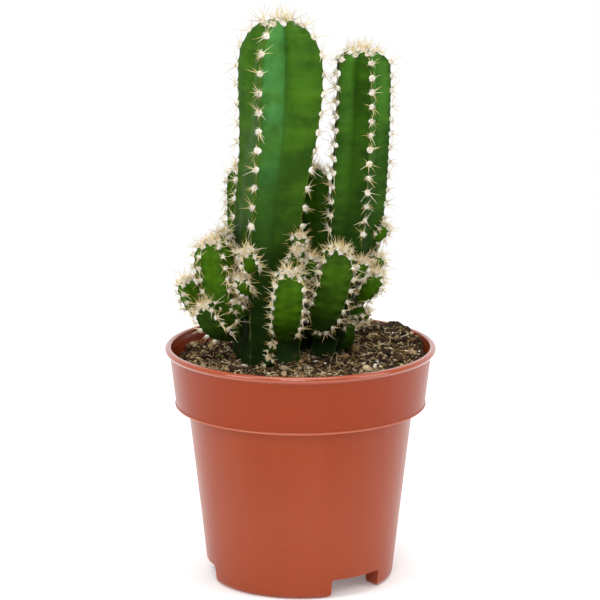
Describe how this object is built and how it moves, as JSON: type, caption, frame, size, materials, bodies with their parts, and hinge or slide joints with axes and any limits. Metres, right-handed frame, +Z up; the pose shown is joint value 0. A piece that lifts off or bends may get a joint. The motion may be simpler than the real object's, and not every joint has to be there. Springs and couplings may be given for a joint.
{
  "type": "potted columnar cactus",
  "caption": "Clustering columnar cactus with ribbed green columns and small offsets, rooted in soil in a round tapered plastic nursery pot on cut-away feet.",
  "frame": {"origin": "on the pot's axis, level with the underside of its feet", "axes": "+Z up along the pot's axis; -Y is the front, +X is to the front's right"},
  "size_m": [0.12, 0.12, 0.25],
  "materials": {
    "pot_plastic": "satin",
    "soil_mix": "matte",
    "column_skin": "satin",
    "offset_skin": "satin"
  },
  "bodies": {
    "root": {"pot": "pot_plastic", "potting_soil": "soil_mix", "main_stem": "column_skin", "right_stem": "column_skin", "middle_stem": "column_skin", "rear_left_stem": "column_skin", "left_tall_pup": "offset_skin", "far_left_pup": "offset_skin", "lower_left_pup": "offset_skin", "left_back_pup": "offset_skin", "rib_pup_upper": "offset_skin", "rib_pup_middle": "offset_skin", "rib_pup_lower": "offset_skin", "front_pup": "offset_skin", "front_bud_upper": "offset_skin", "front_bud_lower": "offset_skin", "inner_pup_upper": "offset_skin", "inner_pup_lower": "offset_skin", "centre_pup": "offset_skin", "right_front_pup": "offset_skin", "base_bud": "offset_skin", "right_pup": "offset_skin", "right_inner_pup": "offset_skin", "right_outer_pup": "offset_skin", "right_high_pup": "offset_skin", "right_low_pup": "offset_skin", "soil_pup": "offset_skin", "rear_left_pup": "offset_skin", "rear_pup": "offset_skin", "rear_right_pup": "offset_skin"}
  },
  "joints": []
}
